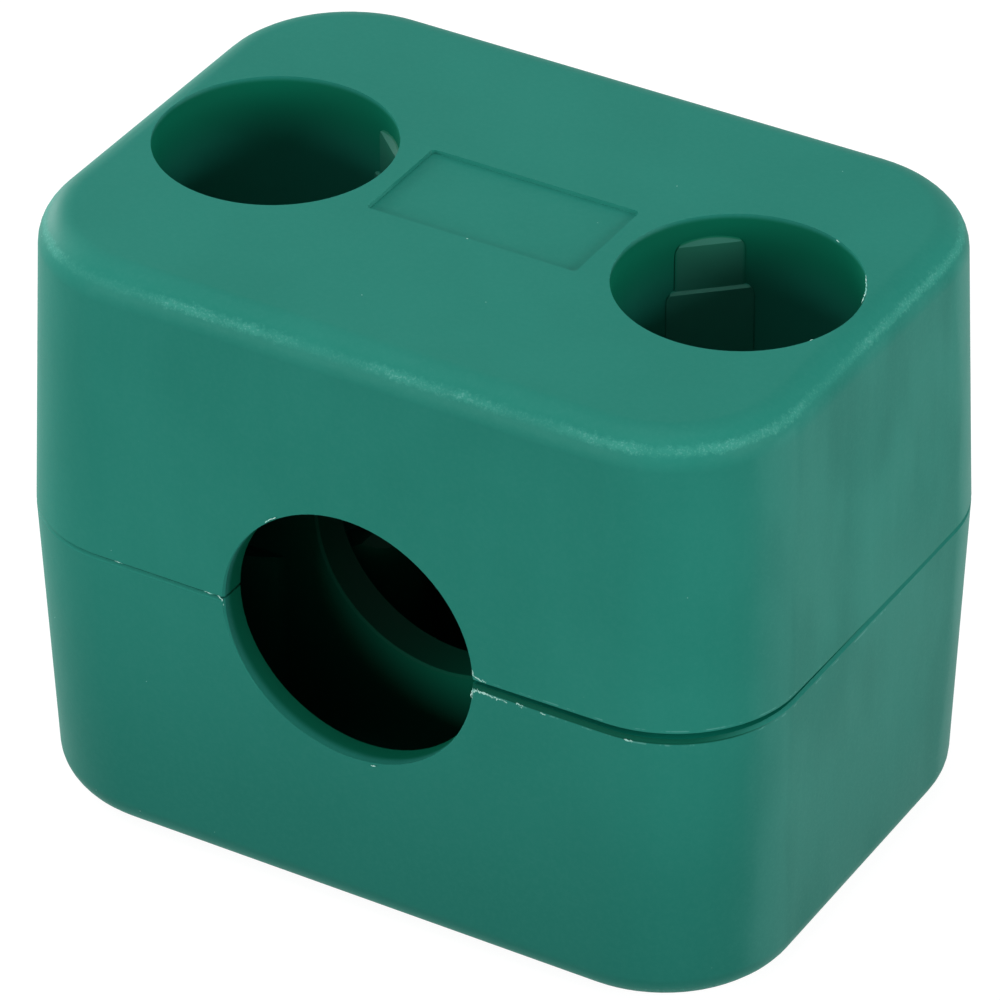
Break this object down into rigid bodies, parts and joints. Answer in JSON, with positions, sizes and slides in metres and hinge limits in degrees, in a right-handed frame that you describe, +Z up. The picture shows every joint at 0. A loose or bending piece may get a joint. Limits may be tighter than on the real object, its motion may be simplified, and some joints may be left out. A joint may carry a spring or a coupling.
{
  "type": "hydraulic tube clamp",
  "caption": "Two-piece moulded plastic clamp body that holds a hydraulic tube between a pair of bolts.",
  "frame": {"origin": "middle of the base, on the outer face of the lower half", "axes": "+X from one bolt to the other, +Y along the tube, +Z up along the bolts"},
  "size_m": [0.042, 0.03, 0.033],
  "materials": {
    "green_polypropylene": "satin"
  },
  "bodies": {
    "root": {"upper_half": "green_polypropylene", "lower_half": "green_polypropylene"}
  },
  "joints": []
}
